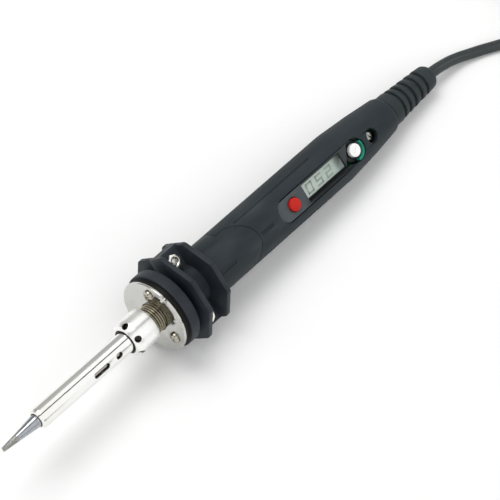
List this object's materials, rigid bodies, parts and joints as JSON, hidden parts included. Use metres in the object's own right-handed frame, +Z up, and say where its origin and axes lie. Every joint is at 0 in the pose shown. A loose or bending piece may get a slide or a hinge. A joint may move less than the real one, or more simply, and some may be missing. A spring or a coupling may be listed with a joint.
{
  "type": "soldering iron",
  "caption": "Mains soldering iron with a clamped octagonal collar, vented barrel, chisel bit, temperature display, button, dial and flat twin lead.",
  "frame": {"origin": "centre of the iron's bounding box, at the surface it lies on; the free cord, its hank and plug are left out", "axes": "+X along the iron from bit to cord, +Z up, with the iron lying on one facet of its collar and on its handle"},
  "size_m": [0.4538, 0.0344, 0.0345],
  "materials": {
    "bit_tinned": "tinned and plated, worn bright at the tip",
    "barrel_steel": "polished stainless tube",
    "nut_nickel": "bright nickel plate",
    "heater_ceramic": "matt fired ceramic",
    "thread_brass": "turned, lightly plated thread",
    "plate_nickel": "bright pressed plate",
    "collar_black": "moulded phenolic, satin gloss",
    "handle_slate": "fine-textured moulded plastic",
    "panel_grey": "fine-textured moulded plastic",
    "button_red": "satin moulded plastic",
    "switch_black": "moulded",
    "pot_green": "moulded",
    "dial_white": "satin moulded plastic",
    "trimmer_blue": "moulded",
    "screw_brass": "turned",
    "board_green": "lacquered laminate",
    "holder_black": "moulded",
    "display_grey": "glass over grey-green liquid crystal",
    "chip_black": "moulded",
    "film_yellow": "dipped resin",
    "can_blue": "sleeved can",
    "relief_black": "moulded PVC",
    "cord_black": "PVC flat twin lead",
    "plug_black": "moulded PVC",
    "blade_brass": "rolled brass",
    "core_brown": "PVC insulation",
    "core_blue": "PVC insulation",
    "screw_nickel": "bright nickel plate",
    "bolt_steel": "zinc plated",
    "clamp_nut_nickel": "bright nickel plate",
    "lead_red": "braided glass sleeve",
    "lead_white": "braided glass sleeve"
  },
  "bodies": {
    "handle": {"heater_rod": "heater_ceramic", "threaded_sleeve": "thread_brass", "flange_plate": "plate_nickel", "front_bush": "collar_black", "collar_upper": "collar_black", "collar_lower": "collar_black", "front_grip": "handle_slate", "handle_upper": "handle_slate", "handle_lower": "handle_slate", "control_panel": "panel_grey", "tact_switch": "switch_black", "temperature_pot": "pot_green", "calibration_trimmer": "trimmer_blue", "circuit_board": "board_green", "display_holder": "holder_black", "display_glass": "display_grey", "triac": "chip_black", "film_capacitor": "film_yellow", "electrolytic_capacitor": "can_blue", "strain_relief": "relief_black", "mains_cord": "cord_black", "cord_tail": "cord_black", "cord_hank": "cord_black", "plug_body": "plug_black", "plug_blade_1": "blade_brass", "plug_blade_2": "blade_brass", "mains_core_1": "core_brown", "mains_core_2": "core_blue", "plate_screw_1": "screw_nickel", "plate_screw_2": "screw_nickel", "plate_screw_3": "screw_nickel", "clamp_bolt_1": "bolt_steel", "clamp_nut_1": "clamp_nut_nickel", "clamp_bolt_2": "bolt_steel", "clamp_nut_2": "clamp_nut_nickel", "heater_lead_1": "lead_red", "heater_lead_2": "lead_white", "heater_lead_3": "lead_red", "heater_lead_4": "lead_white"},
    "barrel": {"barrel_tube": "barrel_steel", "bit": "bit_tinned"},
    "nut": {"barrel_nut": "nut_nickel"},
    "button": {"red_button": "button_red"},
    "dial": {"temperature_dial": "dial_white"},
    "calibration": {"calibration_screw": "screw_brass"}
  },
  "joints": [
    {"name": "red_button_press", "type": "slide", "parent": "handle", "child": "button", "axis": [-0.055, 0.7071, -0.705], "range_m": [0, 0.0008], "stiffness_N_per_m": 300},
    {"name": "dial_turn", "type": "hinge", "parent": "handle", "child": "dial", "pos_m": [0.06376, -0.00588, 0.01584], "axis": [0.055, -0.7071, 0.705], "range_deg": [-140, 140]},
    {"name": "calibration_turn", "type": "hinge", "parent": "handle", "child": "calibration", "pos_m": [0.07344, -0.00461, 0.01381], "axis": [0.055, -0.7071, 0.705], "range_deg": [-120, 120]},
    {"name": "barrel_slide", "type": "slide", "parent": "handle", "child": "barrel", "axis": [-0.997, 0, 0.0778], "range_m": [0, 0.004]},
    {"name": "nut_turn", "type": "hinge", "parent": "barrel", "child": "nut", "pos_m": [-0.05094, -0.00001, 0.01891], "axis": [-0.997, 0, 0.0778], "range_deg": [0, 1441]}
  ],
  "couplings": [
    {"joint": "nut_turn", "follows": "barrel_slide", "rad_per_m": 6283.2}
  ]
}
